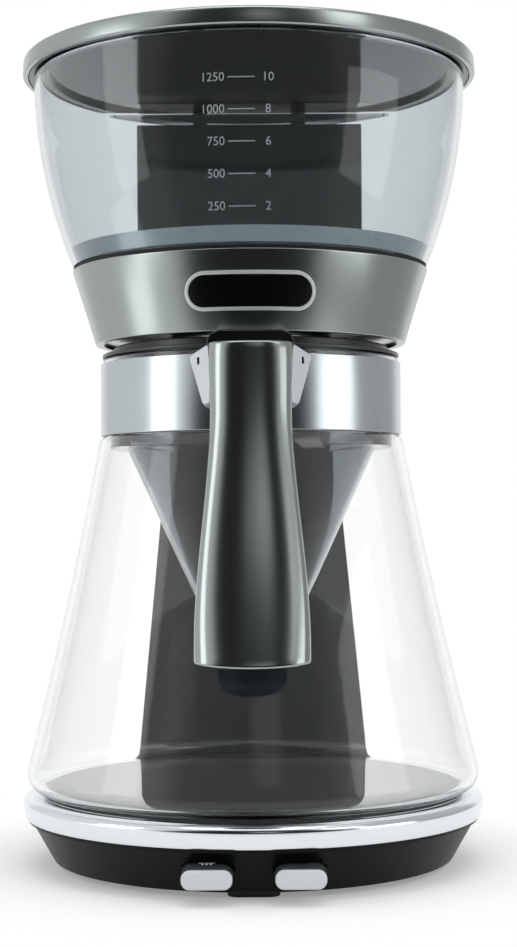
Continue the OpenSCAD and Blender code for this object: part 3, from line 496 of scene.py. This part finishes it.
def handle_section(z):
    """Half an oval at a height, whose flat side lies against the handle's core."""
    slim, reach, lean, thick, hollow = 31.8, 88.0, 24.0, 11.8, 4.2
    flare, flare_from, flare_over = 2 * high("handle_shell").x - slim, 0.19, 0.75
    top_flare, top_flare_to = 0.9, 0.27
    power, bow, bow_l, steps = 2.45, 1.2, 40, 64
    down = (HANDLE_TOP - z) / HANDLE_L
    draw = drawn_in(z - HANDLE_LOW, FOOT_ROUND) + drawn_in(HANDLE_TOP - z, TOP_ROUND)
    half = slim / 2 + flare / 2 * smooth((down - flare_from) / flare_over)
    half += top_flare * smooth((top_flare_to - down) / top_flare_to)
    half, depth = half - draw, thick - draw - hollow * 4 * down * (1 - down)
    plane = -reach - lean * down
    rise = bow * max(0.0, 1 - (z - HANDLE_LOW) / bow_l)
    points = []
    for k in range(steps + 1):
        a = math.pi * (1 + k / steps)
        across = math.copysign(abs(math.cos(a)) ** (2 / power), math.cos(a))
        out = abs(math.sin(a)) ** (2 / power)
        points.append((half * across, plane - depth * out, z + rise * across ** 2))
    return points


def handle_shell():
    """A grip of sections, closer together at its rounded foot and top."""
    foot_steps, shaft_steps, top_steps = 8, 60, 5
    straight = HANDLE_L - FOOT_ROUND - TOP_ROUND
    foot = [HANDLE_LOW + FOOT_ROUND * (1 - math.cos(math.pi / 2 * i / foot_steps))
            for i in range(foot_steps)]
    shaft = [HANDLE_LOW + FOOT_ROUND + straight * i / shaft_steps for i in range(shaft_steps + 1)]
    top = [HANDLE_TOP - TOP_ROUND * (1 - math.sin(math.pi / 2 * i / top_steps))
           for i in range(1, top_steps + 1)]
    loops = [handle_section(z) for z in foot + shaft + top]
    piece(skin("grip", loops, along=False), "carafe", "taupe_handle", "handle_shell", sharp=50)


handle_shell()


# Head and tank

HEAD_BACK = high("collar").y
TANK_LOW, TANK_TOP = low("tank_wall").z, high("tank_wall").z
TANK_R, TANK_BACK = high("tank_wall").x, high("tank_wall").y
TANK_ARC, TANK_T = 205.0, 2.4


def cut_ring(radius, z, back):
    """A ring that stops at a plane behind the axis."""
    start = math.acos(min(1.0, back / radius))
    angles = [start + (2 * math.pi - 2 * start) * j / TURN_STEPS for j in range(TURN_STEPS + 1)]
    return [(radius * math.sin(a), radius * math.cos(a), z) for a in angles]


def collar():
    """A tapered band with a flange inside its top and a lip inside its foot, open at the back."""
    bottom, top, low_r, top_r = low("collar").z, high("collar").z, 68.0, high("collar").x
    thick, lip_h, flange, flange_t = 2.2, 1.3, 8, 2
    slope = (top_r - low_r) / (top - bottom)
    rest = HEAD_BACK + 0.8
    corners = [(low_r, bottom, 0.7), (top_r, top, 0.7), (top_r - flange, top, 0.2),
               (top_r - flange, top - flange_t, 0.2),
               (top_r - flange_t * slope - thick, top - flange_t, 0.4),
               (low_r + slope * lip_h - thick, bottom + lip_h, 0.3), (rest, bottom + lip_h, 0.2),
               (rest, bottom, 0.3)]
    loops = [cut_ring(r, z, HEAD_BACK) for r, z in rounded(corners)]
    piece(skin("collar_band", loops, around=False), "machine", "taupe_metal", "collar")


def tank_radius(z):
    """The tank's outside at a height, upright at the top and drawn in below it."""
    return TANK_R - (TANK_TOP - z) ** 2 / (2 * TANK_ARC)


def flat_backed(radius, back, corner, z):
    """A ring with a flat back and rounded rear corners."""
    back_steps = 24
    x = math.sqrt((radius - corner) ** 2 - (back - corner) ** 2)
    turn = math.degrees(math.atan2(back - corner, x))
    right = arc(x, back - corner, corner, corner, 90, turn, steps=8)
    front = arc(0, 0, radius, radius, turn, -180 - turn, steps=160)[1:-1]
    left = [(-px, py) for px, py in reversed(right)]
    flat = [(-x + 2 * x * i / back_steps, back) for i in range(1, back_steps)]
    return [(px, py, z) for px, py in right + front + left + flat]


def tank():
    """A wall that flares upward, with a softened rim."""
    edge, nick, corner, steps = 0.8, (0.25, 0.2), 5.0, 40
    wall = [TANK_LOW + (TANK_TOP - TANK_LOW) * i / steps for i in range(steps)]
    outer = [(0.0, z) for z in wall]
    outer += [(0.0, TANK_TOP - edge), (nick[0], TANK_TOP - nick[1]), (edge, TANK_TOP)]
    inner = [(TANK_T - inset, z) for inset, z in reversed(outer)]
    loops = [flat_backed(tank_radius(z) - inset, TANK_BACK - inset, corner - inset, z)
             for inset, z in outer + inner]
    piece(skin("tank_shell", loops), "machine", "tank_clear", "tank_wall", sharp=60)


def tank_scale():
    """Plain numbers and ticks printed on the front of the tank."""
    thick, lift, digit, size_per_digit = 0.08, 0.02, 3.4, 1.42
    first, pitch, rows, volume, cups = TANK_LOW + 14.2, 12.3, 5, 250, 2
    volume_x, tick_x, tick_l, cups_x = -9.6, -8.4, 10.8, 7.6
    flat = bmesh.new()

    def number(words, align, x, z):
        curve = bpy.data.curves.new("number", "FONT")
        curve.body = words
        curve.align_x = align
        curve.align_y = "CENTER"
        curve.size = size_per_digit * digit
        curve.extrude = thick / 2
        curve.resolution_u = 4
        text = bpy.data.objects.new("number", curve)
        bpy.context.scene.collection.objects.link(text)
        mesh = bpy.data.meshes.new_from_object(text.evaluated_get(bpy.context.evaluated_depsgraph_get()))
        bpy.data.objects.remove(text)
        count = len(flat.verts)
        flat.from_mesh(mesh)
        flat.verts.ensure_lookup_table()
        for vert in flat.verts[count:]:
            vert.co += Vector((x, z, thick / 2))

    def tick(x, z, length):
        half, steps = 0.2, 8
        section = [(-half, 0), (half, 0), (half, thick), (-half, thick)]
        cuts = [[flat.verts.new((x + length * i / steps, z + y, d)) for y, d in section]
                for i in range(steps + 1)]
        for a, b in zip(cuts, cuts[1:]):
            for k in range(4):
                flat.faces.new((a[k], a[(k + 1) % 4], b[(k + 1) % 4], b[k]))
        flat.faces.new(cuts[0])
        flat.faces.new(cuts[-1])

    for i in range(rows):
        z = first + pitch * i
        number(str(volume * (i + 1)), "RIGHT", volume_x, z)
        tick(tick_x, z, tick_l)
        number(str(cups * (i + 1)), "CENTER", cups_x, z)
    for vert in flat.verts:
        x, z, d = vert.co
        r = tank_radius(z) + lift + d
        vert.co = Vector((r * math.sin(x / r), -r * math.cos(x / r), z)) * MM
    bmesh.ops.recalc_face_normals(flat, faces=flat.faces)
    piece(kept_mesh(flat, "tank_scale"), "machine", "tank_grey", finish=SCALE_PRINT)


collar()
tank()
tank_scale()


# Buttons

# Marks on a button's top: (x, y, width, length), from the middle of its front edge
BARS = [(x, 1.2, 0.7, 2.6) for x in (-1.6, 0.0, 1.6)]
LINE = (0.0, 4.6, 6.5, 0.35)


def button_face(node):
    """A light cap with a rounded front edge and a slightly crowned face."""
    first, last = low(node), high(node)
    centre = (first + last) / 2
    half_x, half_z = (last.x - first.x) / 2, (last.z - first.z) / 2
    corner, least_corner, edge, edge_steps = 3.4, 0.4, 0.8, 6
    crown, crown_step, crown_rings = 0.12, 0.5, 4

    def loop(inset, y):
        x, z, r = half_x - inset, half_z - inset, corner - min(inset, corner - least_corner)
        turns = [(1, 1, 0), (-1, 1, 90), (-1, -1, 180), (1, -1, 270)]
        points = [p for sx, sz, a in turns
                  for p in arc(sx * (x - r), sz * (z - r), r, r, a, a + 90, steps=8)]
        return [(centre.x + px, y, centre.z + pz) for px, pz in points]

    angles = [math.pi / 2 * i / edge_steps for i in range(edge_steps + 1)]
    front = [(edge - edge * math.cos(a), first.y + crown + edge - edge * math.sin(a)) for a in angles]
    front += [(edge + crown_step * i, first.y + crown * (1 - i / crown_rings) ** 2)
              for i in range(1, crown_rings + 1)]
    loops = [loop(0, last.y)] + [loop(inset, y) for inset, y in front]
    piece(skin(node + "_cap", loops, along=False), BODY_OF[node], SLOT_OF[node], node)


def button_spring(node):
    """A wound spring between a button and the switch carrier."""
    first, last = low(node), high(node)
    wire, turns, steps, sides = 0.4, 4, 32, 12
    radius = (last.x - first.x) / 2 - wire
    centre = (first + last) / 2
    start, end = first.y + wire, last.y - wire
    rise = (end - start) / (2 * math.pi * turns)
    round_wire = [2 * math.pi * k / sides for k in range(sides)]
    loops = []
    for i in range(turns * steps + 1):
        a = 2 * math.pi * i / steps
        out = Vector((math.cos(a), 0, math.sin(a)))
        along = Vector((-radius * math.sin(a), rise, radius * math.cos(a))).normalized()
        across = along.cross(out)
        middle = Vector((centre.x, start + rise * a, centre.z)) + out * radius
        loops.append([middle + (out * math.cos(t) + across * math.sin(t)) * wire for t in round_wire])
    obj = piece(skin(node + "_coil", loops, along=False), BODY_OF[node], SLOT_OF[node], node)
    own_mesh(obj)


def button_marks(node, slot, marks):
    """Small marks printed on top of a button."""
    first, last = low(node), high(node)
    middle, lift, thick, corner = (first.x + last.x) / 2, 0.01, 0.06, 0.1
    bm = bmesh.new()
    for x, y, width, length in marks:
        left, right, back = x - width / 2, x + width / 2, y + length
        corners = [(left, y, corner), (right, y, corner), (right, back, corner), (left, back, corner)]
        flat = [(middle + px, first.y + py) for px, py in rounded(corners, steps=3)]
        under, over = [[bm.verts.new(Vector((px, py, last.z + z)) * MM) for px, py in flat]
                       for z in (lift, thick)]
        for i in range(len(flat)):
            j = (i + 1) % len(flat)
            bm.faces.new((under[i], under[j], over[j], over[i]))
        bm.faces.new(under)
        bm.faces.new(over)
    bmesh.ops.recalc_face_normals(bm, faces=bm.faces)
    piece(kept_mesh(bm, node + "_marks"), BODY_OF[node], slot)


button_face("brew_button_face")
button_face("power_button_face")
button_spring("brew_spring")
button_spring("power_spring")
button_marks("brew_button", "button_light", BARS + [LINE])
button_marks("power_button", "base_black", BARS)


# Lid rim

def lid_rim():
    """A rim with a notch where the hinge's arm passes."""
    outside, top, bottom = high("lid_rim").x, high("lid_rim").z, low("lid_rim").z
    panel, arm, arm_steps = outside - 7.4, 20.35, 16
    inner, flange = outside - 2.3, bottom + 2
    corners = [(inner, bottom, 0.2), (outside - 0.7, bottom, 0.3), (outside, bottom + 0.7, 0.5),
               (outside - 0.3, top, 2.0), (panel, top, 0.5), (panel, flange, 0), (inner, flange, 0)]
    notch = math.asin(arm / outside)
    angles = [notch + (2 * math.pi - 2 * notch) * j / TURN_STEPS for j in range(TURN_STEPS + 1)]
    columns = [(a, bottom) for a in angles]
    columns += [(-notch + 2 * notch * j / arm_steps, flange) for j in range(arm_steps + 1)]
    loops = [[(r * math.sin(a), r * math.cos(a), max(z, least)) for a, least in columns]
             for r, z in rounded(corners)]
    piece(skin("lid_edge", loops), "lid", "taupe_metal", "lid_rim")


lid_rim()


# Camera, light and floor, in metres

def camera():
    data = bpy.data.cameras.new("camera")
    data.sensor_width = 36.0
    data.lens = 70.47
    data.shift_x = 0.0073
    data.clip_start = 0.01
    obj = bpy.data.objects.new("camera", data)
    bpy.context.scene.collection.objects.link(obj)
    obj.location = (0.0, -0.8184, 0.1507)
    obj.rotation_euler = (math.radians(91.3), math.radians(0.37), 0.0)
    bpy.context.scene.camera = obj


def softbox(name, place, aim, width, height, radiance):
    """A rectangular lamp turned towards a point."""
    data = bpy.data.lights.new(name, "AREA")
    data.shape = "RECTANGLE"
    data.size = width
    data.size_y = height
    data.energy = radiance * math.pi * width * height
    obj = bpy.data.objects.new(name, data)
    bpy.context.scene.collection.objects.link(obj)
    obj.location = place
    obj.rotation_euler = (Vector(aim) - Vector(place)).to_track_quat("-Z", "Y").to_euler()


def ramp(tree, source, stops):
    """A level that follows a value from -1 to 1 between two (value, level) stops."""
    scale = tree.nodes.new("ShaderNodeMapRange")
    scale.inputs["From Min"].default_value = -1.0
    tree.links.new(source, scale.inputs["Value"])
    node = tree.nodes.new("ShaderNodeValToRGB")
    for element, (value, level) in zip(node.color_ramp.elements, stops):
        element.position = (value + 1) / 2
        element.color = (level, level, level, 1)
    tree.links.new(scale.outputs["Result"], node.inputs["Fac"])
    return node.outputs["Color"]


def smooth_step(tree, source, start, end, level=1.0):
    """A level that eases in from 0 while a value goes from start to end."""
    node = tree.nodes.new("ShaderNodeMapRange")
    node.interpolation_type = "SMOOTHSTEP"
    node.inputs["From Min"].default_value = start
    node.inputs["From Max"].default_value = end
    node.inputs["To Max"].default_value = level
    tree.links.new(source, node.inputs["Value"])
    return node.outputs["Result"]


def joined(tree, operation, first, *others):
    """Several levels joined by one operation, such as a sum, a product or the largest."""
    for other in others:
        node = tree.nodes.new("ShaderNodeMath")
        node.operation = operation
        tree.links.new(first, node.inputs[0])
        tree.links.new(other, node.inputs[1])
        first = node.outputs["Value"]
    return first


def vector_step(tree, operation, source, other=None):
    node = tree.nodes.new("ShaderNodeVectorMath")
    node.operation = operation
    tree.links.new(source, node.inputs[0])
    if other is not None:
        node.inputs[1].default_value = other
    return node.outputs


def along_axes(tree, source):
    node = tree.nodes.new("ShaderNodeSeparateXYZ")
    tree.links.new(source, node.inputs["Vector"])
    return node.outputs


def unit(tree, source, weights):
    """A direction with its parts weighted, at a length of 1."""
    weighted = vector_step(tree, "MULTIPLY", source, weights)["Vector"]
    return vector_step(tree, "NORMALIZE", weighted)["Vector"]


def world():
    """White behind the object, and for reflections grey sides, a bright ceiling and a dark front."""
    plain_light, white = 0.62, 1.0
    sky = bpy.data.worlds.new("studio")
    bpy.context.scene.world = sky
    sky.use_nodes = True
    tree = sky.node_tree
    path = tree.nodes.new("ShaderNodeLightPath").outputs
    direction = tree.nodes.new("ShaderNodeTexCoord").outputs["Generated"]
    part = along_axes(tree, direction)

    sides = ramp(tree, part["X"], [(-1, 0.85), (1, 0.45)])
    bearing = along_axes(tree, unit(tree, direction, (1, 1, 0)))["Y"]
    lean = ramp(tree, part["Z"], [(0, 0.0), (1, 0.25)])
    depth = ramp(tree, joined(tree, "ADD", bearing, lean), [(-0.76, 0.02), (-0.62, 1.0)])
    walls = joined(tree, "MULTIPLY", sides, depth)
    ceiling = ramp(tree, part["Z"], [(0.68, 0.0), (0.9, 0.85)])
    backdrop = ramp(tree, part["Y"], [(0.6, 0.0), (0.85, 1.0)])

    # A small soft patch of light in front of the object and above it
    lamp_way = Vector((0.05, -0.925, 0.38)).normalized()
    faint, full = math.cos(math.radians(5)), math.cos(math.radians(1))
    nearness = vector_step(tree, "DOT_PRODUCT", unit(tree, direction, (0.45, 1, 1)), lamp_way)["Value"]
    lamp = smooth_step(tree, nearness, faint, full, level=0.9)

    reflected = tree.nodes.new("ShaderNodeMix")
    reflected.inputs["A"].default_value = plain_light
    tree.links.new(path["Is Glossy Ray"], reflected.inputs["Factor"])
    tree.links.new(joined(tree, "MAXIMUM", walls, ceiling, backdrop, lamp), reflected.inputs["B"])
    level = tree.nodes.new("ShaderNodeMix")
    level.inputs["B"].default_value = white
    seen = joined(tree, "MAXIMUM", path["Is Camera Ray"], path["Is Transmission Ray"])
    tree.links.new(seen, level.inputs["Factor"])
    tree.links.new(reflected.outputs["Result"], level.inputs["A"])
    background = tree.nodes["Background"]
    background.inputs["Color"].default_value = (1, 1, 1, 1)
    tree.links.new(level.outputs["Result"], background.inputs["Strength"])


def floor_white():
    """A pale finish that keeps the object's shadow, and is as white as the background further off."""
    shadow_to, white_from, pale, glow = 0.085, 0.17, 0.85, 0.26
    mat = bpy.data.materials.new("floor_white")
    mat.use_nodes = True
    tree = mat.node_tree
    tree.nodes.remove(tree.nodes["Principled BSDF"])
    matt = tree.nodes.new("ShaderNodeBsdfDiffuse")
    matt.inputs["Color"].default_value = (pale, pale, pale, 1)
    lift = tree.nodes.new("ShaderNodeEmission")
    lift.inputs["Strength"].default_value = glow
    near = tree.nodes.new("ShaderNodeAddShader")
    tree.links.new(matt.outputs["BSDF"], near.inputs[0])
    tree.links.new(lift.outputs["Emission"], near.inputs[1])
    white = tree.nodes.new("ShaderNodeEmission").outputs["Emission"]
    place = tree.nodes.new("ShaderNodeTexCoord").outputs["Object"]
    far_off = smooth_step(tree, vector_step(tree, "LENGTH", place)["Value"], shadow_to, white_from)
    look = mixed(tree, far_off, near.outputs["Shader"], white)
    path = tree.nodes.new("ShaderNodeLightPath").outputs
    seen = joined(tree, "MAXIMUM", path["Is Camera Ray"], path["Is Transmission Ray"],
                  path["Is Glossy Ray"])
    shown = mixed(tree, seen, matt.outputs["BSDF"], look)
    tree.links.new(shown, tree.nodes["Material Output"].inputs["Surface"])
    return mat


def floor():
    side, front, back = 0.45, -0.3, 3.0
    corners = [(-side, front), (side, front), (side, back), (-side, back)]
    mesh = mesh_of("floor", [Vector((x, y, 0.0)) for x, y in corners], [(0, 1, 2, 3)])
    mesh.materials.append(floor_white())
    obj = bpy.data.objects.new("floor", mesh)
    bpy.context.scene.collection.objects.link(obj)


camera()
world()
floor()
softbox("left_box", (-1.0, -0.42, 0.33), aim=(0, 0, 0.2), width=0.4, height=0.68, radiance=1.8)
softbox("low_left_box", (-1.0, -0.17, -0.16), aim=(0, 0, 0.22), width=0.36, height=0.34, radiance=1.5)
softbox("right_box", (1.0, -0.45, 0.22), aim=(0, 0, 0.2), width=0.6, height=0.48, radiance=1.7)
softbox("key_box", (0.85, -0.77, 0.88), aim=(0, 0, 0.25), width=0.42, height=0.42, radiance=2.0)
softbox("top_box", (0, -0.45, 1.5), aim=(0, 0, 0.2), width=1.2, height=0.7, radiance=1.5)
bpy.context.scene.view_settings.view_transform = "Standard"
